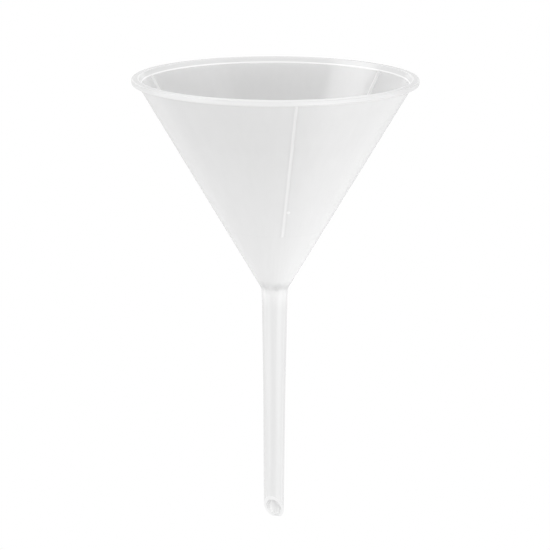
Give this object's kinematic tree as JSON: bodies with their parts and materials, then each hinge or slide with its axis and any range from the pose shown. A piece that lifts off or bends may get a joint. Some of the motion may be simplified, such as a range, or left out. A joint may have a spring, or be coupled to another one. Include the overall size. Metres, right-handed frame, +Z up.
{
  "type": "laboratory funnel",
  "caption": "Conical laboratory funnel with a flanged rim, inner ribs and a long tapered stem cut off on the slant at its tip.",
  "frame": {"origin": "on the axis at the shoulder, where the bowl's cone meets the stem", "axes": "+Z up the axis, from the stem to the mouth; -Y towards the front, where the slanting tip opens"},
  "size_m": [0.1, 0.1, 0.161],
  "materials": {
    "natural_polypropylene": "smooth moulded, satin, translucent"
  },
  "bodies": {
    "root": {"rim_flange": "natural_polypropylene", "bowl_cone": "natural_polypropylene", "bowl_foot": "natural_polypropylene", "rib_front": "natural_polypropylene", "rib_back_right": "natural_polypropylene", "rib_back_left": "natural_polypropylene", "throat": "natural_polypropylene", "stem": "natural_polypropylene"}
  },
  "joints": []
}
